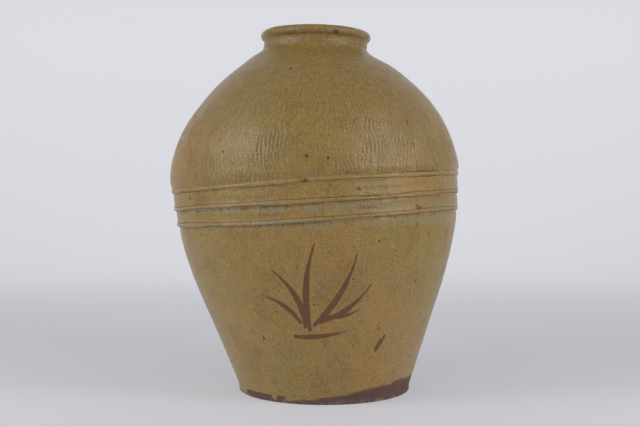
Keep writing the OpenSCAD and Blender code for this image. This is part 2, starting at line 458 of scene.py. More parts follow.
# %% Shape the lower body
GLAZE_T = 0.35 * MM


def waves(place):
    """The slow unevenness shared by all members, with the jar's sideways sway and its slim foot."""
    z = place[:, 2] / MM
    beside = place[:, 0] / (np.hypot(place[:, 0], place[:, 1]) + MM)
    sway = beside * (1.4 * bump(z, 395, 60) - 2.3 * bump(z, 465, 24) - 1.2 * bump(z, 284, 44))
    girth = -1.2 * bump(z, 98, 110)
    return MM * (0.8 * soft_noise(place, 110 * MM) + 0.35 * soft_noise(place, 38 * MM, 3) + sway + girth)


def comb(angle, radius, pitch, shift):
    """Side-by-side grooves up the wall, from 0 on the ribs to -1 in the grooves."""
    count = np.round(2 * math.pi * np.median(radius) / pitch)
    return -(0.5 + 0.5 * np.cos(angle * count + shift)) ** 1.6


def low_relief(angle, radius, height, skin, place):
    below = -seam_height(place)
    rise = waves(place)
    smooth = 0.14 * MM * soft_noise(place, (90 * MM, 90 * MM, 7 * MM), 5)
    smooth += 0.08 * MM * soft_noise(place, 9 * MM, 2) + 0.05 * MM * soft_noise(place, 4 * MM, 4)
    gap = wipe_gap(angle, height)
    smooth += -0.35 * MM * (1 - ramp(gap, -1.5 * MM, 0.4 * MM)) + 0.16 * MM * bump(gap, 1.1 * MM, 1.8 * MM)
    smooth += GLAZE_T * (ramp(glaze_edge(angle, place), 0, 1.6 * MM) - 1)
    for drop in band_drops.values():
        above = np.clip(drop - band_w / 2 - below, 0, None)
        under = np.clip(below - drop - band_w / 2, 0, None)
        smooth += 0.9 * MM * np.exp(-above / (3.5 * MM)) * (under == 0)
        smooth += -1.2 * MM * np.exp(-((under / (8 * MM)) ** 1.5)) * (under > 0)
    drawn = ramp(below, 8 * MM, 16 * MM) * (1 - ramp(below, 56 * MM, 66 * MM))
    smooth += 0.3 * MM * drawn * np.sin(below / (11.5 * MM) * 2 * math.pi + 2 * soft_noise(place, 70 * MM, 6))
    smooth += 0.16 * MM * drawn * comb(angle, radius, 5.6 * MM, 0.4) * band_bloom(below, place)
    rings = 0.5 * MM * np.sin(height / (11 * MM) * 2 * math.pi + 2 * soft_noise(place, 60 * MM, 9))
    return rise + np.where(skin > 0, smooth, np.where(skin < 0, rings, 0))


# %% [markdown]
# The same places go into vertex attributes, which the glaze recipe reads later: iron lines along the bands, partly
# painted shadow at their lower edges, red marks, grey-green bloom where ash gathered, dark dashes under the lower
# bands, crests that are partly worn and partly painted highlight, and the distances to the wiped strokes and to the
# edge of the glaze. Points inside the jar get none of them.

# %% Mark the clay
def band_bloom(below, place):
    """Where ash gathered and turned the glaze grey-green: two level strips at the lower bands."""
    z = place[:, 2] - 0.02 * place[:, 0] + 1.5 * MM * soft_noise(place, 25 * MM, 3)
    patchy = ramp(soft_noise(place, (45 * MM, 45 * MM, 14 * MM), 8), -0.75, 0.1)
    strips = ramp(z, 249 * MM, 252 * MM) * (1 - ramp(z, 259 * MM, 263 * MM))
    strips += ramp(z, 230 * MM, 233 * MM) * (1 - ramp(z, 241 * MM, 244 * MM))
    return np.clip(strips * patchy, 0, 1)


def iron_and_shadow_lines(angle, below, place):
    """Brown where the glaze ran thin, along the bands and the scored line over them, and painted shadow just under the
    bands.
    """
    degrees = np.degrees(angle)
    worn = 0.62 + 0.5 * soft_noise(place, (24 * MM, 24 * MM, 24 * MM), 4)
    # Painted shadow: the strongest line sits just under the upper band, where the band shades the wall.
    lines = 0.95 * bump(below, 6.0 * MM, 2.4 * MM) + 0.5 * bump(below, -0.2 * MM, 1.6 * MM)
    scored = 5.5 * MM * (1 - ramp(degrees, -12, 30))
    lines += 0.85 * bump(below, -scored, 1.8 * MM) * ramp(degrees, -34, -26) * (1 - ramp(degrees, 60, 90))
    # Painted shadow just under each lower band, with a fainter brown line over it.
    for drop in (band_drops["band_middle"], band_drops["band_lower"]):
        lines += 0.7 * bump(below, drop + band_w / 2 + 0.3 * MM, 1.8 * MM)
        lines += 0.45 * bump(below, drop - band_w / 2 - 0.4 * MM, 1.5 * MM)
    return lines * worn


def dark_dashes(below, place):
    """Strips of short dark dashes, where the two lower bands shade the wall."""
    patchy = ramp(soft_noise(place, (50 * MM, 50 * MM, 30 * MM), 15), -0.6, 0.15)
    strips = [bump(below, band_drops[key] + 4.6 * MM, 4 * MM) for key in ("band_middle", "band_lower")]
    return np.sum(strips, axis=0) * patchy


def clay_marks(angle, place, skin, **given):
    """Every mark that the glaze recipe reads, for the points of any member."""
    below = -seam_height(place)
    rough_edge = 0.75 + 0.5 * soft_noise(place, 5 * MM, 9)
    found = {
        "iron": iron_and_shadow_lines(angle, below, place) + spots(angle, place, BROWN_SPOTS + SCARS) * rough_edge,
        "red": spots(angle, place, RED_SPOTS) * rough_edge,
        "bloom": band_bloom(below, place),
        "dash": dark_dashes(below, place),
        "groove": np.zeros(len(angle)),
        "worn": np.zeros(len(angle)),
    }
    found.update(given)
    marks = {key: np.where(skin > 0, np.clip(value, 0, 1), 0) for key, value in found.items()}
    marks["wiped"] = np.full(len(angle), 50.0)
    marks["glaze_edge"] = np.where(skin > 0, glaze_edge(angle, place) / MM, 50.0)
    return marks


def low_marks(angle, radius, height, skin, place):
    marks = clay_marks(angle, place, skin)
    marks["wiped"] = np.where(skin > 0, wipe_gap(angle, height) / MM, 50.0)
    return marks


# %% [markdown]
# ## The lower body's three courses
# Each course is one broad coil of clay, pulled up and paddled. Two courses meet in a slanted lap joint, lower on
# the inside, as a potter presses it. The outline runs up the outside in close steps, where the marks are, and
# down the inside in wider ones. The top course carries a groove for each band, and its rows of points slide
# towards the slanting seam, so that they run along the bands.

# %% Build the wall courses
LOW_COURSES = 3
LOW_CUTS = 9


def spaced(start, stop, gap):
    """Values from start to stop at about a given gap."""
    return np.linspace(start, stop, max(2, int(round(abs(stop - start) / gap)) + 1))


def course_outline(poles, thick, start, stop, outer_gap, inner_gap):
    """The closed outline of one course between two places on its curve."""
    reach = np.linalg.norm(poles[3] - poles[0])
    shifts = [0 if t in (0, 1) else lap / reach for t in (start, stop)]
    outer = spaced(start, stop, outer_gap / reach)
    inner = spaced(stop - shifts[1], start - shifts[0], inner_gap / reach)
    points = [(*point, OUTSIDE) for point in bezier(poles, outer)]
    points += [(*point, INSIDE) for point in inner_face(poles, inner, thick(inner))]
    return points


seam_tilt = math.tan(band_rise - lean)
follow_from = low_len - 98 * MM
follow_to = low_len - 64 * MM


def wobble(angle, depth):
    """How far a hand-drawn line strays up or down, a little differently at each depth below the seam."""
    lag = 9 * depth / MM / 100
    stray = 0.7 * np.sin(3 * angle + 1 + lag) + 0.45 * np.sin(7 * angle + 2 - 3 * lag)
    return MM * (stray + 0.25 * np.sin(13 * angle + 5 * lag) + 0.15 * np.sin(29 * angle + 9 * lag))


def slide_to_seam(angle, radius, height):
    """Rows near the seam slide along the wall until they run along it."""
    share = ramp(height, follow_from, follow_to)
    slid = height + share * (seam_tilt * radius * np.sin(angle) + wobble(angle, low_len - height))
    return radius + radius_on(LOW_CURVE, slid) - radius_on(LOW_CURVE, height), slid


def slide_to_slab(angle, radius, height):
    """The lowest rows of the leaning wall slide down onto the flat slab."""
    share = 1 - ramp(height, base_t, base_t + 30 * MM)
    slid = height + share * (math.tan(lean) * (foot_r + 0 * radius) * -np.sin(angle))
    return radius + (slid - height) * math.tan(foot_flare), slid


low_gap = 2.0 * MM
inner_gap = 5.5 * MM
wall_1 = make_piece(
    "wall_course_1", course_outline(LOW_CURVE, low_thick, 0, 1 / LOW_COURSES, low_gap, inner_gap),
    LOW_AXIS, LOW_CUTS, low_relief, slide_to_slab, low_marks,
)
wall_2 = make_piece(
    "wall_course_2", course_outline(LOW_CURVE, low_thick, 1 / LOW_COURSES, 2 / LOW_COURSES, low_gap, inner_gap),
    LOW_AXIS, LOW_CUTS, low_relief, None, low_marks,
)

# %% Cut the band grooves into the top course
def with_grooves(outline):
    """The top course's outline with a groove for each band in place of its points there."""
    grooved = [point for point in outline if point[2] == INSIDE]
    outer = [point for point in outline if point[2] == OUTSIDE]
    for drop in band_drops.values():
        low = low_len - drop - band_w / 2
        high = low_len - drop + band_w / 2
        outer = [point for point in outer if not low - 0.7 * MM < point[1] < high + 0.7 * MM]
        deep = float(radius_on(LOW_CURVE, low_len - drop)) - band_key
        edge_low = float(radius_on(LOW_CURVE, low))
        edge_high = float(radius_on(LOW_CURVE, high))
        outer += [(edge_low, low, OUTSIDE), (deep, low + 1e-7, HIDDEN), (deep, high - 1e-7, HIDDEN)]
        if high < low_len - MM:
            outer.append((edge_high, high, OUTSIDE))
    outer.sort(key=lambda point: point[1])
    return outer + grooved


top_outline = with_grooves(course_outline(LOW_CURVE, low_thick, 1 - 1 / LOW_COURSES, 1, low_gap, inner_gap))
wall_3 = make_piece("wall_course_3", top_outline, LOW_AXIS, LOW_CUTS, low_relief, slide_to_seam, low_marks)

# %% [markdown]
# ## The bands
# A band is a thin cord of clay pressed into a scored groove and drawn round with wet fingers, so its upper side
# flows into the wall and its lower edge is crisp. It is turned in the wall's own frame, and slides along with the
# wall's rows, so it hugs the uneven wall all the way round.

# %% Build the bands
BAND_STEPS = 12


def band_outline(drop):
    """A cord's cross-section: fullest near its lower edge, sloping back to the wall above."""
    middle = low_len - drop
    wall_here = float(radius_on(LOW_CURVE, middle))
    low = middle - band_w / 2
    high = middle + band_w / 2
    points = [(wall_here - band_key, low, HIDDEN), (wall_here, low, OUTSIDE)]
    for i in range(1, BAND_STEPS + 1):
        share = i / BAND_STEPS
        out = band_proud * max(math.sin(math.pi * share**0.62), 0.0) ** 0.7
        points.append((wall_here + max(out, 0.05 * MM), low + share * band_w, OUTSIDE))
    return points + [(wall_here - band_key, high, HIDDEN)]


def band_relief(angle, radius, height, skin, place):
    """Fingers pressed the cord on unevenly, and wear has flattened its crest."""
    proud = radius - radius_on(LOW_CURVE, height)
    pressed = -0.3 + 0.34 * soft_noise(place, (30 * MM, 30 * MM, 60 * MM), 6) + 0.15 * soft_noise(place, 7 * MM, 1)
    pressed -= 0.3 * bump(np.degrees(angle), 80, 60)
    small = 0.1 * MM * soft_noise(place, 3.5 * MM, 2)
    return waves(place) + np.where(skin > 0, proud * np.clip(pressed, -0.85, 0.1) + small, 0)


def band_marks(angle, radius, height, skin, place):
    proud = (radius - radius_on(LOW_CURVE, height)) / band_proud
    # The crest is painted pale: partly wear, partly a painted highlight along the top of the cord.
    crest_wear_and_highlight = ramp(proud, 0.35, 0.8) * (0.6 + 0.5 * soft_noise(place, 12 * MM, 7))
    return clay_marks(angle, place, skin, worn=crest_wear_and_highlight)


bands = [
    make_piece(name, band_outline(drop), LOW_AXIS, LOW_CUTS, band_relief, slide_to_seam, band_marks)
    for name, drop in band_drops.items()
]

# %% [markdown]
# ## The shoulder's three courses
# The shoulder was beaten with a grooved paddle, row above row. Each blow leaves a patch of upright grooves as
# wide as the paddle, with its own tilt and depth, and the rows fade towards the neck. A groove is about 5 mm from
# the next, so the rings are cut finer here, to 1440 points: a shape that shows must be in the mesh, not only in a
# bump map.

# %% Shape the shoulder
SHOULDER_COURSES = 3
SHOULDER_CUTS = 11
groove_pitch = 5.2 * MM
blow_w = 44 * MM
# Heights where one row of blows ends and the next begins, and how deep each row is
PADDLE_ROWS = [z * MM for z in (268, 300, 322, 345, 369, 388, 404)]
ROW_DEPTH = (1.0, 1.0, 0.95, 0.85, 0.4, 0.2)


def paddle_marks(angle, place):
    """Depth of the paddle's grooves and of its blows, both from 0 to 1."""
    z = place[:, 2] + 2.5 * MM * soft_noise(place, 35 * MM, 12)
    draw = np.random.default_rng(7).uniform(0, 1, (len(ROW_DEPTH), 64, 3))
    grooves = np.zeros(len(angle))
    blows = np.zeros(len(angle))
    bend = 0.5 * soft_noise(place, (20 * MM, 20 * MM, 60 * MM), 13)
    for i, row_depth in enumerate(ROW_DEPTH):
        low, high = PADDLE_ROWS[i], PADDLE_ROWS[i + 1]
        row = ramp(z, low - MM, low + 2.5 * MM) * (1 - ramp(z, high - 1.5 * MM, high + MM))
        ring = 2 * math.pi * float(radius_on(SHOULDER_CURVE, (low + high) / 2))
        count = round(ring / blow_w)
        spot = (angle / (2 * math.pi) + 0.5) * count + 0.37 * i + 0.12 * soft_noise(place, 20 * MM, i)
        blow = np.floor(spot)
        part = spot - blow
        phase, tilt, depth = draw[i][blow.astype(int) % count].T
        across = part * blow_w / groove_pitch + phase + (tilt - 0.5) * 0.5 * (z - low) / groove_pitch + bend
        groove = (0.5 + 0.5 * np.cos(2 * math.pi * across)) ** 2.6
        edge = ramp(part, 0, 0.07) * (1 - ramp(part, 0.93, 1))
        strength = row * edge * row_depth * (0.25 + 0.75 * depth)
        grooves += strength * groove
        blows += strength
    calm = 0.7 * bump(np.degrees(angle), -4, 24) * (1 - ramp(z, 335 * MM, 355 * MM))
    patchy = np.clip(0.8 + 0.5 * soft_noise(place, (52 * MM, 52 * MM, 30 * MM), 14), 0.1, 1) * (1 - calm)
    return grooves * patchy, blows * patchy


def shoulder_relief(angle, radius, height, skin, place):
    above = seam_height(place)
    z = place[:, 2]
    rise = waves(place) + 1.2 * MM * -np.sin(angle) * (1 - ramp(z, 300 * MM, 400 * MM)) * ramp(above, 0, 30 * MM)
    rounded = -2.2 * MM * (1 - ramp(above, 0, 11 * MM)) ** 2.2
    degrees = np.degrees(angle)
    scored = 5.5 * MM * (1 - ramp(degrees, -12, 30))
    line = -0.5 * MM * bump(above, scored, 1.8 * MM) * ramp(degrees, -34, -26) * (1 - ramp(degrees, 20, 40))
    grooves, blows = paddle_marks(angle, place)
    tool = (-0.62 * grooves - 0.25 * blows) * MM * ramp(above, 6 * MM, 12 * MM)
    ripple = 0.2 * MM * soft_noise(place, (90 * MM, 90 * MM, 6 * MM), 5)
    small = 0.09 * MM * soft_noise(place, 7 * MM, 2) + 0.06 * MM * soft_noise(place, 3.5 * MM, 6)
    scars = -0.6 * MM * spots(angle, place, SCARS)
    rings = 0.5 * MM * np.sin(height / (12 * MM) * 2 * math.pi + 2 * soft_noise(place, 60 * MM, 9))
    outer = rounded + line + tool + ripple + small + scars
    return rise + np.where(skin > 0, outer, np.where(skin < 0, rings * ramp(above, 5 * MM, 20 * MM), 0))


def shoulder_marks(angle, radius, height, skin, place):
    grooves, blows = paddle_marks(angle, place)
    ribs = np.clip(blows - 1.8 * grooves, 0, 1) * (0.7 + 0.6 * soft_noise(place, 8 * MM, 5))
    return clay_marks(angle, place, skin, groove=grooves, worn=ribs)


# %% [markdown]
# The first shoulder course hangs down to the slanting seam. Its rows slide from level at its top edge to the
# slope of the seam at its foot, and the radius is looked up again at each new height.

# %% Build the shoulder courses
course_top = float(bezier(SHOULDER_CURVE, 1 / SHOULDER_COURSES)[1])


def slide_to_shoulder_seam(angle, radius, height):
    share = 1 - np.clip((height - belly_z) / (course_top - 14 * MM - belly_z), 0, 1)
    slid = height + share * (math.tan(band_rise) * radius * np.sin(angle) + wobble(angle, 0))
    return radius + radius_on(SHOULDER_CURVE, slid) - radius_on(SHOULDER_CURVE, height), slid


shoulder_gap = 1.7 * MM
shoulders = []
for i in range(SHOULDER_COURSES):
    outline = course_outline(
        SHOULDER_CURVE, shoulder_thick, i / SHOULDER_COURSES, (i + 1) / SHOULDER_COURSES, shoulder_gap, 6 * MM
    )
    shoulders.append(make_piece(
        f"shoulder_course_{i + 1}", outline, UPRIGHT, SHOULDER_CUTS, shoulder_relief,
        slide_to_shoulder_seam if i == 0 else None, shoulder_marks,
    ))

# %% [markdown]
# ## Neck and lip
# The neck is a short collar drawn up out of the shoulder. The lip is a coil folded outward over it and smoothed
# with a wet rag, tipped a little to the right. Each is one outline again: a rounded corner for the neck, and an
# oval roll for the lip, with the straight mouth inside it.

# %% Draw rounded corners
def corner_curve(a, corner, b, count):
    """Points of a smooth curve from a to b that is drawn towards the corner."""
    t = np.linspace(0, 1, count + 1)[:, None]
    return (1 - t) ** 2 * np.array(a) + 2 * (1 - t) * t * np.array(corner) + t * t * np.array(b)


# %% Build the neck
neck_in = mouth_r + neck_step
neck_rise = math.tan(shoulder_slope)
neck_corner_z = neck_root_z + (neck_root_r - neck_r) * neck_rise
root_in = inner_face(SHOULDER_CURVE, 1.0, shoulder_thick(1.0))


def neck_outline():
    outer = corner_curve(
        (neck_root_r, neck_root_z), (neck_r, neck_corner_z), (neck_r, (neck_z + neck_corner_z) / 2), 18
    )
    hollow = corner_curve(
        (neck_in, (neck_z + root_in[1]) / 2 + 2 * MM), (neck_in, root_in[1] + (root_in[0] - neck_in) * neck_rise),
        root_in, 12,
    )
    points = [(*point, OUTSIDE) for point in outer]
    points += [(neck_r, neck_z - 2 * MM, OUTSIDE), (neck_r, neck_z, OUTSIDE), (neck_in, neck_z, INSIDE)]
    return points + [(*point, INSIDE) for point in hollow]


def slide_to_lip(angle, radius, height):
    """The neck's top edge follows the tipped lip."""
    share = ramp(height, neck_z - 6 * MM, neck_z)
    return radius, height - share * math.tan(lip_tip) * radius * np.sin(angle)


def neck_relief(angle, radius, height, skin, place):
    """A finger's soft ridge under the lip."""
    soft = 0.25 * MM * soft_noise(place, (40 * MM, 40 * MM, 5 * MM), 5) + 0.08 * MM * soft_noise(place, 5 * MM, 2)
    soft += 0.7 * MM * bump(height, neck_z - 4.5 * MM, 5 * MM)
    return waves(place) + np.where(skin > 0, soft, np.where(skin < 0, 0.2 * MM * soft_noise(place, 30 * MM), 0))


def neck_marks(angle, radius, height, skin, place):
    # Painted highlight: a pale streak along the soft ridge under the lip.
    ridge_highlight = 0.6 * bump(height, neck_z - 4.5 * MM, 4 * MM) * (0.5 + soft_noise(place, 18 * MM, 3))
    return clay_marks(angle, place, skin, worn=ridge_highlight)


neck = make_piece("neck_ring", neck_outline(), UPRIGHT, SHOULDER_CUTS, neck_relief, slide_to_lip, neck_marks)

# %% Build the lip
roll_a = (lip_r - mouth_r) / 2
roll_b = lip_h / 2 + 0.5 * MM
roll_z = lip_seam_drop + 1.0 * MM - roll_b - (mouth_r + roll_a) * math.sin(lip_tip)
ROLL_STEPS = 34


def lip_outline():
    roll = []
    for i in range(ROLL_STEPS + 1):
        a = math.radians(-60 + 240 * i / ROLL_STEPS)
        roll.append((mouth_r + roll_a + roll_a * math.cos(a), roll_z + roll_b * math.sin(a), OUTSIDE))
    under_r, under_z, _ = roll[0]
    tuck = (neck_r, max(0.5 * MM, under_z - (under_r - neck_r) * 2), OUTSIDE)
    mouth = [(mouth_r, h, INSIDE) for h in np.linspace(roll_z, 0, 6)[1:]]
    return [(neck_r, 0, HIDDEN), tuck] + roll + mouth


def lip_relief(angle, radius, height, skin, place):
    """The rag left the lip a little flat in places, and use has chipped it."""
    top = ramp(height, 0, 5 * MM)
    worn = 0.35 * MM * soft_noise(place, (22 * MM, 22 * MM, 9 * MM), 15) + 0.14 * MM * soft_noise(place, 6 * MM, 1)
    inward = (skin < 0) | (radius < mouth_r + 0.05 * MM)
    return np.where(inward, 0, (worn - 0.15 * MM) * top)


def lip_marks(angle, radius, height, skin, place):
    """The top edge rubbed brown, pale patches on the outer face as a painted highlight, and one purple spot at the
    front.
    """
    rubbed = ramp(soft_noise(place, 14 * MM, 16), -0.5, 0.4)
    crown = 0.95 * ramp(height, roll_z + roll_b - 2.5 * MM, roll_z + roll_b) * (0.5 + 0.5 * rubbed)
    crown += 0.5 * bump(height, roll_z - 0.5 * roll_b, 4 * MM) * ramp(soft_noise(place, 11 * MM, 4), 0, 0.5)
    spot = spots(angle, place, [(21, 490, 13, 8)])
    # Painted highlight: pale patches on the fullest part of the lip's outer face.
    face = bump(height, roll_z, 8 * MM) * ramp(soft_noise(place, (11 * MM, 11 * MM, 6 * MM), 12), -0.1, 0.6)
    return clay_marks(angle, place, skin, iron=crown + spot, worn=0.9 * face)


lip = make_piece("lip_roll", lip_outline(), LIP_AXIS, 5, lip_relief, None, lip_marks)

# %% [markdown]
# ## Base slab and seam coil
# The jar was built up on a flat disc of clay. Its underside was cut from the wheel head and has never seen
# glaze. Its edge is worn round by years on stone floors. The seam coil is pressed into the corner inside.

# %% Build the base slab
base_edge = 2.6 * MM


def slab_outline():
    points = [(0, 0, OUTSIDE)]
    points += [(r, 0, OUTSIDE) for r in spaced(6 * MM, foot_r - 2 * base_edge, 5 * MM)]
    for i in range(7):
        a = math.radians(-90 + 90 * i / 6)
        points.append((foot_r - base_edge * (1 - math.cos(a)), base_edge * (1 + math.sin(a)), OUTSIDE))
    points += [(foot_r, z, OUTSIDE) for z in spaced(base_t / 2, base_t, 1.5 * MM)]
    points += [(r, base_t, HIDDEN) for r in spaced(foot_r - 2 * MM, 6 * MM, 9 * MM)]
    return points + [(0, base_t, HIDDEN)]


def slab_relief(angle, radius, height, skin, place):
    """Wire marks and wear under the slab. The outer ring stays flat, because the jar stands on it."""
    under = (height < 0.5 * MM) & (radius < foot_r - 22 * MM)
    wire = 0.35 * MM * (soft_noise(place, (60 * MM, 5 * MM, 60 * MM), 3) - 1) * ramp(foot_r - radius, 22 * MM, 30 * MM)
    side = waves(place) + 0.4 * MM * soft_noise(place, 9 * MM, 4) - 0.3 * MM
    edge = (skin > 0) & (radius > foot_r - base_edge)
    return np.where(under, wire, np.where(edge, side * ramp(height, 0.2 * MM, 2 * MM), 0))


def slab_marks(angle, radius, height, skin, place):
    """Glaze runs down over the slab's side, but its underside is bare."""
    marks = clay_marks(angle, place, skin)
    side = ramp(radius, foot_r - 1.5 * MM, foot_r - 0.5 * MM)
    marks["glaze_edge"] = side * marks["glaze_edge"] - 30 * (1 - side)
    return marks


slab = make_piece("base_slab", slab_outline(), SLAB_AXIS, 7, slab_relief, None, slab_marks)

# %% Build the seam coil
def coil_outline():
    corner = foot_r - foot_wall
    top = (corner + 14 * MM * math.tan(foot_flare), base_t + 14 * MM)
    face = corner_curve((corner - 18 * MM, base_t), (corner - 4.5 * MM, base_t + 3.5 * MM), top, 16)
    return [(corner, base_t, HIDDEN)] + [(*top, HIDDEN)] + [(*point, INSIDE) for point in face[::-1][1:]]


def coil_relief(angle, radius, height, skin, place):
    """Fingertip dents along the coil."""
    dents = 0.5 * MM * (np.cos(angle * 46) - 1) * bump(height, base_t + 5 * MM, 9 * MM)
    return np.where(skin < 0, dents + 0.3 * MM * soft_noise(place, 14 * MM), 0)


def coil_marks(angle, radius, height, skin, place):
    return clay_marks(angle, place, skin)


coil = make_piece("base_seam_coil", coil_outline(), SLAB_AXIS, 5, coil_relief, None, coil_marks)

# %% [markdown]
# ## Finishes
# The jar wears an ash glaze over iron-bearing clay. The glaze is olive where it lies thick and ochre where it is
# thin, freckled with iron and satin. One recipe serves every member, also the slab, where nearly all of it is
# bare clay. It reads the object's own coordinates, which are the jar's own space for all members, so its patches
# run on across the joints.

# %% Write a short way to add shader nodes
def node(tree, kind, inputs=None, **settings):
    """Add one shader node, with its settings and its inputs as values or as other nodes' sockets."""
    made = tree.nodes.new("ShaderNode" + kind)
    for key, value in settings.items():
        setattr(made, key, value)
    for key, value in (inputs or {}).items():
        if isinstance(value, bpy.types.NodeSocket):
            tree.links.new(value, made.inputs[key])
        else:
            made.inputs[key].default_value = value
    return made


def calc(tree, operation, a, b=0.0, clamp=False):
    return node(tree, "Math", {0: a, 1: b}, operation=operation, use_clamp=clamp).outputs[0]


def step_up(tree, value, low, high, to_low=0.0, to_high=1.0):
    """A smooth step of a value, as ramp does for the mesh."""
    made = node(
        tree, "MapRange", {"Value": value, "From Min": low, "From Max": high, "To Min": to_low, "To Max": to_high},
        interpolation_type="SMOOTHSTEP",
    )
    return made.outputs[0]


def blend(tree, factor, a, b):
    """One colour over another."""
    made = node(tree, "Mix", {0: factor}, data_type="RGBA")
    for socket, value in ((made.inputs[6], a), (made.inputs[7], b)):
        if isinstance(value, bpy.types.NodeSocket):
            tree.links.new(value, socket)
        else:
            socket.default_value = value
    return made.outputs[2]


def noise(tree, place, scale, detail=3.0, rough=0.5):
    return node(tree, "TexNoise", {"Vector": place, "Scale": scale, "Detail": detail, "Roughness": rough}).outputs[0]


def attribute(tree, key):
    return node(tree, "Attribute", attribute_name=key).outputs["Fac"]


def srgb(red, green, blue):
    """A colour as a paint chart gives it, made linear for the shader."""
    parts = [v / 255 for v in (red, green, blue)]
    return [v / 12.92 if v <= 0.04045 else ((v + 0.055) / 1.055) ** 2.4 for v in parts] + [1.0]


# %% [markdown]
# The glaze recipe: broad patches of olive and ochre, a painted shade that darkens the upper shoulder, the neck and the
# lip, blotches, runs down the wall, freckles a millimetre across, fine pores and a few larger iron spots. Then the
# marks
# from the mesh: dark glaze pooled in the paddle grooves, pale tan where the ribs are worn and as a painted highlight
# on the band crests, the neck's ridge and the lip's face, iron along the bands with painted shadow at their lower
# edges, red marks, grey-green bloom, dark dashes, wiped strokes and bare clay below the edge of the glaze.

# %% Mix the glaze
def speckled(tree, place, scale, share, detail=3.0, rough=0.6):
    """Noise turned into spots that cover about a given share of the surface."""
    middle = 0.5 + 0.16 * (0.5 - share)
    return step_up(tree, noise(tree, place, scale, detail, rough), middle, middle + 0.12)


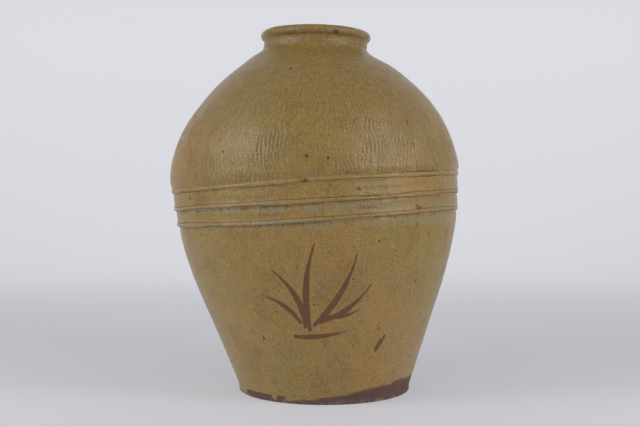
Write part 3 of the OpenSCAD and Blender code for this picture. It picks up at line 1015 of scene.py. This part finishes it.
def glaze_material(name, warm):
    material = bpy.data.materials.new(name)
    material.use_nodes = True
    tree = material.node_tree
    tree.nodes.clear()
    place = node(tree, "TexCoord").outputs["Object"]
    high = node(tree, "SeparateXYZ", {0: place}).outputs[2]
    runs = node(tree, "Mapping", {"Vector": place, "Scale": (1, 1, 0.12)}).outputs[0]

    def over(colour, factor, paint, strength=1.0):
        """Lay a paint over a colour where the factor says, at a given strength."""
        return blend(tree, calc(tree, "MULTIPLY", factor, strength), colour, srgb(*paint))

    patches = step_up(tree, noise(tree, place, 8, 3), 0.38, 0.62)
    colour = blend(tree, patches, srgb(155, 129, 62), srgb(166, 129, 64))
    # Painted shade: the upper shoulder, the neck and the lip are painted darker, as the light from above is dim there.
    colour = over(colour, step_up(tree, high, 0.33, 0.44), (136, 110, 50), 0.85)
    colour = over(colour, speckled(tree, place, 19, 0.4), (136, 104, 48), 0.5)
    colour = over(colour, speckled(tree, place, 45, 0.5, 5), (140, 118, 72), 0.4)
    colour = over(colour, speckled(tree, runs, 210, 0.5, 4), (170, 144, 92), 0.4)
    colour = over(colour, speckled(tree, place, 560, 0.45, 3, 0.75), (106, 82, 38), 0.5)
    colour = over(colour, speckled(tree, place, 700, 0.35, 2), (192, 166, 112), 0.6)
    colour = over(colour, warm, (164, 130, 78), 0.5)

    # Pale tan from the worn marks: real wear on the shoulder ribs, and painted highlight on the band crests, the
    # neck's ridge and the lip's face.
    worn = calc(tree, "MULTIPLY", attribute(tree, "worn"), speckled(tree, place, 420, 0.6, 4, 0.7))
    colour = over(colour, worn, (176, 150, 112), 0.75)
    groove = attribute(tree, "groove")
    pooled = calc(tree, "MULTIPLY", groove, step_up(tree, noise(tree, runs, 260, 2), 0.3, 0.6, 0.35, 1))
    colour = over(colour, pooled, (84, 62, 34), 0.8)

    pores = node(tree, "TexVoronoi", {"Vector": place, "Scale": 230.0})
    fate = node(tree, "SeparateColor", {0: pores.outputs["Color"]}).outputs
    pore = calc(tree, "MULTIPLY", step_up(tree, pores.outputs["Distance"], 0.12, 0.3, 1, 0),
                step_up(tree, fate[0], 0.72, 0.8))
    colour = over(colour, pore, (92, 66, 34), 0.75)
    iron_grains = node(tree, "TexVoronoi", {"Vector": place, "Scale": 62.0})
    fate = node(tree, "SeparateColor", {0: iron_grains.outputs["Color"]}).outputs
    size = calc(tree, "ADD", calc(tree, "MULTIPLY", fate[1], 0.07), 0.04)
    grain_gap = calc(tree, "SUBTRACT", iron_grains.outputs["Distance"], size)
    dots = calc(tree, "MULTIPLY", step_up(tree, grain_gap, 0, 0.06, 1, 0), step_up(tree, fate[0], 0.84, 0.88))
    colour = over(colour, dots, (72, 46, 30), 0.8)

    frayed = noise(tree, place, 300, 4, 0.65)
    bloom = calc(tree, "MULTIPLY", attribute(tree, "bloom"), step_up(tree, noise(tree, runs, 190, 3), 0.36, 0.6))
    colour = over(colour, bloom, (152, 144, 112), 0.7)
    dash = calc(tree, "MULTIPLY", attribute(tree, "dash"), step_up(tree, noise(tree, runs, 320, 3), 0.5, 0.6))
    colour = over(colour, dash, (78, 66, 50), 0.75)
    # Brown iron, and along the bands' lower edges also painted shadow.
    rust_and_shadow = step_up(tree, calc(tree, "ADD", attribute(tree, "iron"), calc(tree, "MULTIPLY", frayed, 0.9)), 0.85, 1.25)
    colour = over(colour, rust_and_shadow, (94, 58, 40), 0.85)
    red = step_up(tree, calc(tree, "ADD", attribute(tree, "red"), calc(tree, "MULTIPLY", frayed, 1.2)), 0.95, 1.45)
    colour = over(colour, red, (150, 82, 62), 0.75)

    wiped = calc(tree, "ADD", attribute(tree, "wiped"), calc(tree, "MULTIPLY", frayed, 2.4))
    stroke = step_up(tree, wiped, 0.5, 1.9, 1, 0)
    clay_streaks = blend(tree, noise(tree, runs, 380, 3), srgb(100, 62, 44), srgb(128, 84, 60))
    colour = blend(tree, calc(tree, "MULTIPLY", stroke, 0.93), colour, clay_streaks)
    heaped = calc(tree, "MULTIPLY", step_up(tree, wiped, 1.6, 2.2), step_up(tree, wiped, 2.6, 4, 1, 0))
    colour = over(colour, heaped, (160, 134, 78), 0.3)

    ragged = calc(tree, "ADD", attribute(tree, "glaze_edge"), calc(tree, "MULTIPLY", frayed, 9.0))
    ragged = calc(tree, "ADD", ragged, calc(tree, "MULTIPLY", noise(tree, place, 900, 2), 5.0))
    bare = step_up(tree, ragged, 5.0, 9.5, 1, 0)
    clay = blend(tree, noise(tree, place, 140, 4), srgb(88, 64, 58), srgb(118, 90, 78))
    scuffed = calc(tree, "MULTIPLY", step_up(tree, high, 0.001, 0.007, 1, 0), speckled(tree, place, 110, 0.55, 4))
    clay = blend(tree, calc(tree, "MULTIPLY", scuffed, 0.7), clay, srgb(150, 130, 108))
    colour = blend(tree, bare, colour, clay)

    skinned = calc(tree, "SUBTRACT", 1.0, calc(tree, "MAXIMUM", bare, stroke), True)
    rough_glaze = calc(tree, "ADD", calc(tree, "MULTIPLY", noise(tree, place, 45, 3), 0.22), 0.2)
    rough = node(tree, "Mix", {0: skinned, 2: 0.8, 3: rough_glaze}).outputs[0]
    peel = node(tree, "Bump", {"Height": noise(tree, place, 330, 4, 0.6), "Strength": 0.8, "Distance": 0.0011})
    pits = node(
        tree, "Bump", {"Height": pore, "Strength": 0.5, "Distance": 0.0005, "Normal": peel.outputs[0]}, invert=True,
    )
    shader = node(
        tree, "BsdfPrincipled",
        {"Base Color": colour, "Roughness": rough, "Normal": pits.outputs[0], "IOR": 1.55,
         "Specular IOR Level": 0.4},
    )
    output = node(tree, "OutputMaterial")
    tree.links.new(shader.outputs[0], output.inputs[0])
    return material


glaze = glaze_material("ash_glaze", 0.0)
band_glaze = glaze_material("band_ash_glaze", 0.8)
bare_clay = glaze_material("bare_clay", 0.0)

# %% Glaze the pieces
for piece in [wall_1, wall_2, wall_3, *shoulders, neck, lip, coil]:
    piece.data.materials.append(glaze)
for piece in bands:
    piece.data.materials.append(band_glaze)
slab.data.materials.append(bare_clay)

# %% [markdown]
# ## Studio
# The jar stands on a pale sweep under two large soft boxes. The sweep is a shallow dish, turned like the pots,
# so that it closes the view from every side. It also glows by itself, and light and shade are painted into its glow:
# brighter towards the back and up its wall, a touch brighter at the front, and painted shade out at the sides.

# %% Build the sweep
def build_sweep():
    floor_r = 1.9
    bend = 0.9
    bm = bmesh.new()
    points = [(0, 0)] + [(r, 0) for r in np.linspace(0.2, floor_r, 8)]
    for i in range(1, 13):
        a = math.radians(90 * i / 12)
        points.append((floor_r + bend * math.sin(a), bend * (1 - math.cos(a))))
    points.append((floor_r + bend, 3.0))
    verts = [bm.verts.new((0, -r, z)) for r, z in points]
    edges = [bm.edges.new(pair) for pair in zip(verts, verts[1:])]
    bmesh.ops.spin(
        bm, geom=verts + edges, cent=(0, 0, 0), axis=(0, 0, 1), dvec=(0, 0, 0), angle=2 * math.pi, steps=96,
        use_merge=True, use_normal_flip=False, use_duplicate=False,
    )
    bmesh.ops.remove_doubles(bm, verts=bm.verts, dist=0.1 * MM)
    for face in bm.faces:
        face.smooth = True
    mesh = bpy.data.meshes.new("sweep")
    bm.to_mesh(mesh)
    bm.free()
    mesh.transform(Matrix.Translation((0, 0, -0.2 * MM)))
    sweep = bpy.data.objects.new("sweep", mesh)
    bpy.context.scene.collection.objects.link(sweep)
    return sweep


def sweep_material():
    material = bpy.data.materials.new("glowing_sweep")
    material.use_nodes = True
    tree = material.node_tree
    tree.nodes.clear()
    place = node(tree, "TexCoord").outputs["Object"]
    across, depth, height = node(tree, "SeparateXYZ", {0: place}).outputs
    # Painted light in the glow: a touch brighter at the front, brighter towards the back and up the wall.
    front = step_up(tree, depth, -0.15, 0.1, 0.03, 0)
    back = step_up(tree, depth, 0.2, 2.6, 0, 0.21)
    wall_glow = step_up(tree, height, 0, 1.0, 0, 0.03)
    beside = calc(tree, "SUBTRACT", calc(tree, "ABSOLUTE", across), calc(tree, "MULTIPLY", depth, 0.333))
    # Painted shade: the glow is dimmer out at the sides.
    side = step_up(tree, beside, 0.55, 1.5, 0, -0.2)
    glow = calc(tree, "ADD", calc(tree, "ADD", front, back), calc(tree, "ADD", wall_glow, side))
    # The sweep glows by itself with this strength, on top of its matt grey.
    glow_strength = calc(tree, "ADD", glow, 0.3)
    lit = node(tree, "Emission", {"Color": (0.965, 0.962, 1.03, 1), "Strength": glow_strength})
    matt = node(tree, "BsdfDiffuse", {"Color": (0.40, 0.40, 0.41, 1)})
    shader = node(tree, "AddShader", {0: lit.outputs[0], 1: matt.outputs[0]})
    output = node(tree, "OutputMaterial")
    tree.links.new(shader.outputs[0], output.inputs[0])
    return material


sweep = build_sweep()
sweep.data.materials.append(sweep_material())

# %% Hang the lights
def soft_box(name, azimuth, elevation, distance, size, power):
    """A lamp of a given width and height that looks at the jar's middle."""
    lamp = bpy.data.lights.new(name, "AREA")
    lamp.shape = "RECTANGLE"
    lamp.size, lamp.size_y = size
    lamp.energy = power
    a = math.radians(azimuth)
    e = math.radians(elevation)
    holder = bpy.data.objects.new(name, lamp)
    way = Matrix.Rotation(a, 4, "Z") @ Matrix.Rotation(math.radians(90) - e, 4, "X")
    holder.matrix_world = Matrix.Translation((0, 0, jar_top / 2)) @ way @ Matrix.Translation((0, 0, distance))
    bpy.context.scene.collection.objects.link(holder)


soft_box("soft_box_left", -62, 26, 1.6, (0.7, 0.9), 9)
soft_box("soft_box_right", 56, 24, 1.6, (0.6, 0.9), 8.5)
world = bpy.data.worlds.new("studio_air")
bpy.context.scene.world = world
world.use_nodes = True
world.node_tree.nodes["Background"].inputs[0].default_value = (0.82, 0.84, 0.9, 1)
world.node_tree.nodes["Background"].inputs[1].default_value = 0.36

# %% Set up the camera
camera_data = bpy.data.cameras.new("camera")
camera_data.lens = 54.0
camera_data.sensor_width = 36
camera = bpy.data.objects.new("camera", camera_data)
camera.location = (6.15 * MM, -1354 * MM, 268 * MM)
camera.rotation_euler = (math.radians(90 - 0.917), 0, 0)
bpy.context.scene.collection.objects.link(camera)
bpy.context.scene.camera = camera
bpy.context.scene.view_settings.view_transform = "Standard"
